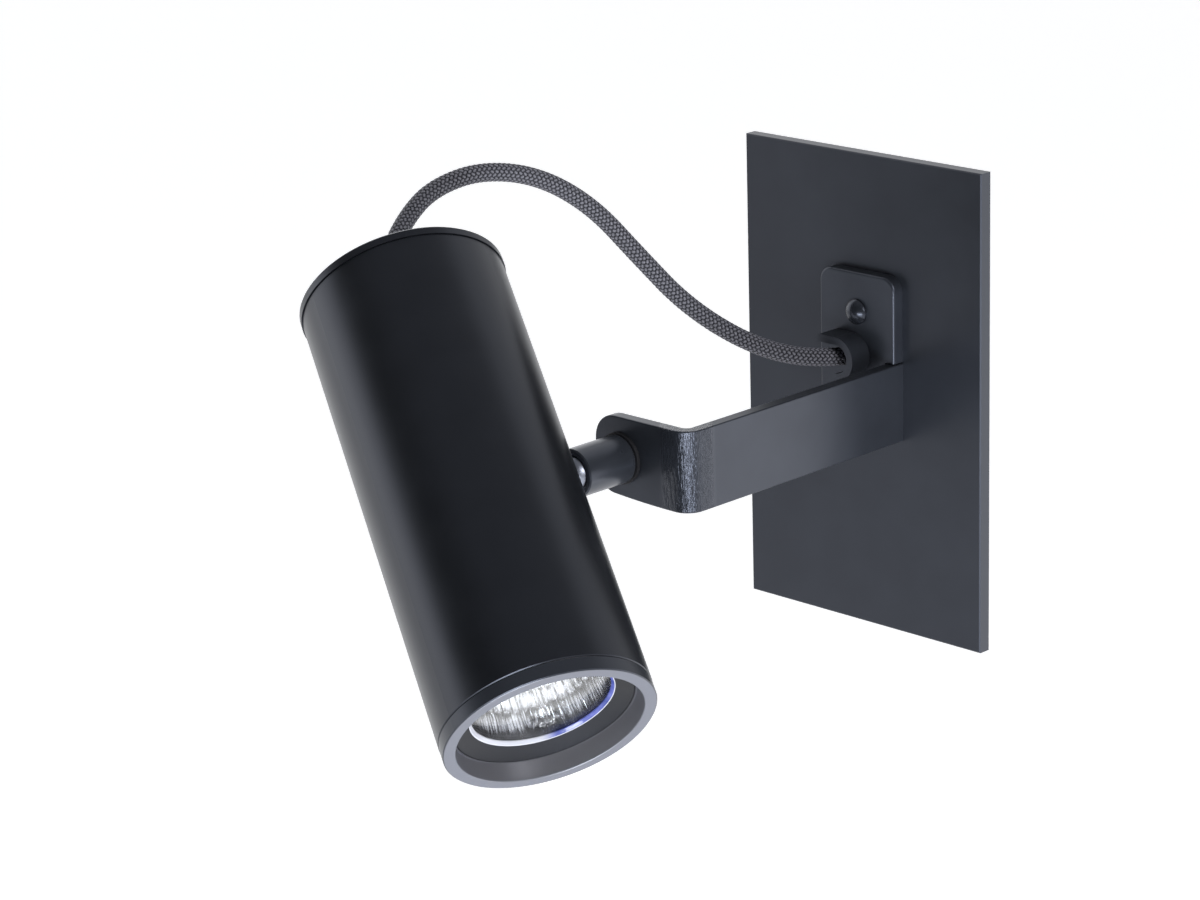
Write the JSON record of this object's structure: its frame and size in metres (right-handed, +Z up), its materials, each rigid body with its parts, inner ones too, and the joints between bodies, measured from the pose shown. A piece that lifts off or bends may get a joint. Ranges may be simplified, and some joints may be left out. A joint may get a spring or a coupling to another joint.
{
  "type": "pivoting spotlight wall light",
  "caption": "Wall light: rectangular backplate, flat-bar arm, swivelling stub with a ball joint, and a tubular spotlight head fed by a short braided cord.",
  "frame": {"origin": "on the wall plane, behind the middle of the backplate", "axes": "+X to the right of someone who faces the wall, -Y out of the wall into the room, +Z up; +Y points into the wall"},
  "size_m": [0.1513, 0.2155, 0.1558],
  "materials": {
    "plate_finish": "satin black powder coat",
    "bracket_finish": "satin black powder coat",
    "stub_finish": "black anodised, semi-gloss",
    "head_finish": "black anodised, satin",
    "ring_finish": "black anodised, fine turned",
    "baffle_finish": "matt black, fine grain",
    "screw_finish": "black, satin",
    "zinc_steel": "zinc plated",
    "raw_aluminium": "plain",
    "brass": "plain",
    "washer_nylon": "black nylon",
    "gland_plastic": "black",
    "bush_rubber": "matt",
    "lead_insulation": "black silicone sleeve",
    "earth_insulation": "green sleeve",
    "cord_braid": "black textile braid",
    "reflector_mirror": "faceted mirror coating",
    "clear_glass": "clear",
    "white_ceramic": "glazed ceramic"
  },
  "bodies": {
    "wall_bracket": {"backplate": "plate_finish", "mounting_bar": "zinc_steel", "bar_spacer": "zinc_steel", "foot_plate": "bracket_finish", "foot_screws": "screw_finish", "arm": "bracket_finish", "cord_hook": "bracket_finish", "cord_grommet": "bush_rubber", "cord_tail": "cord_braid", "supply_leads": "lead_insulation", "earth_lead": "earth_insulation", "earth_tag": "brass", "cord_rear": "cord_braid"},
    "stub_body": {"stub": "stub_finish", "swivel_washer": "washer_nylon", "swivel_bolt": "screw_finish", "swivel_spring_washer": "zinc_steel", "friction_pad": "washer_nylon", "pad_spring": "zinc_steel", "grub_screw": "screw_finish"},
    "head": {"knuckle": "stub_finish", "knuckle_saddle": "raw_aluminium", "knuckle_washer": "zinc_steel", "knuckle_nut": "zinc_steel", "head_tube": "head_finish", "rear_cap": "head_finish", "cord_gland": "gland_plastic", "gland_nut": "gland_plastic", "front_ring": "ring_finish", "lamp_retainer": "baffle_finish", "lamp_reflector": "reflector_mirror", "lamp_glass": "clear_glass", "lamp_capsule": "clear_glass", "lamp_base": "white_ceramic", "lamp_pins": "brass", "lamp_holder": "white_ceramic", "holder_bracket": "zinc_steel", "holder_screws": "zinc_steel", "bracket_screws": "zinc_steel", "head_earth_tag": "brass", "head_earth_lead": "earth_insulation", "head_leads": "lead_insulation", "cord_entry": "cord_braid", "cord_front": "cord_braid"}
  },
  "joints": [
    {"name": "swivel", "type": "hinge", "parent": "wall_bracket", "child": "stub_body", "pos_m": [-0.0106, -0.10185, -0.0005], "axis": [0, -1, 0], "range_deg": [-137.8, 42.2], "deforming": ["cord_rear"]},
    {"name": "tilt", "type": "hinge", "parent": "stub_body", "child": "head", "pos_m": [-0.0106, -0.12035, -0.0005], "axis": [-0.6716, 0, -0.7409], "range_deg": [-33.6, 6.4], "deforming": ["cord_front"]}
  ]
}
